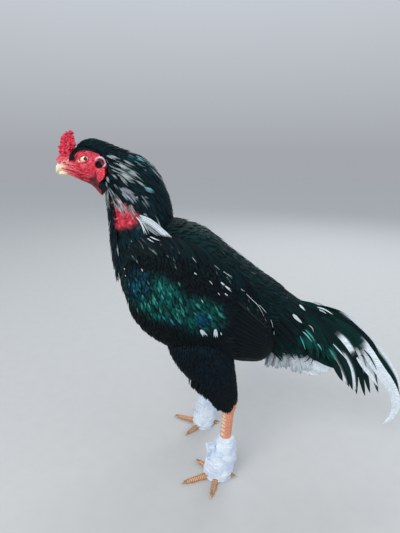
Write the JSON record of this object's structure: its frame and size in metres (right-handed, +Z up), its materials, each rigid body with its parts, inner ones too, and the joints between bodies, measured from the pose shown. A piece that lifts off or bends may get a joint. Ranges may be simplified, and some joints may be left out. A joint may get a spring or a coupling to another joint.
{
  "type": "aseel gamecock, still life-size model",
  "caption": "Life-size aseel gamecock standing upright with a pea comb, drooping sickle tail and both feet wrapped in cloth bandages.",
  "frame": {"origin": "on the floor, under the middle of the whole bird's bounding box", "axes": "+Z up; the cock faces -X, so +X runs to its tail; +Y is its right side"},
  "size_m": [0.6544, 0.2686, 0.6333],
  "materials": {
    "red_skin": "satin",
    "comb_red": "satin",
    "eye": "gloss",
    "horn": "satin",
    "hackle_feather": "satin",
    "black_feather": "satin",
    "green_feather": "satin",
    "tail_feather": "satin",
    "leg_scale": "satin",
    "toe_scale": "satin",
    "claw_horn": "satin",
    "bandage": "matte"
  },
  "bodies": {
    "root": {"head": "red_skin", "comb": "comb_red", "lobe_left": "comb_red", "lobe_right": "comb_red", "eye_left": "eye", "eye_right": "eye", "beak_upper": "horn", "beak_lower": "horn", "neck": "hackle_feather", "torso": "black_feather", "wing_left": "green_feather", "wing_right": "green_feather", "tail": "tail_feather", "thigh_left": "black_feather", "thigh_right": "black_feather", "shank_left": "leg_scale", "bandage_left": "bandage", "toe_inner_left": "toe_scale", "claw_inner_left": "claw_horn", "toe_middle_left": "toe_scale", "claw_middle_left": "claw_horn", "toe_outer_left": "toe_scale", "claw_outer_left": "claw_horn", "toe_back_left": "toe_scale", "claw_back_left": "claw_horn", "shank_right": "leg_scale", "bandage_right": "bandage", "toe_inner_right": "toe_scale", "claw_inner_right": "claw_horn", "toe_middle_right": "toe_scale", "claw_middle_right": "claw_horn", "toe_outer_right": "toe_scale", "claw_outer_right": "claw_horn", "toe_back_right": "toe_scale", "claw_back_right": "claw_horn"}
  },
  "joints": []
}
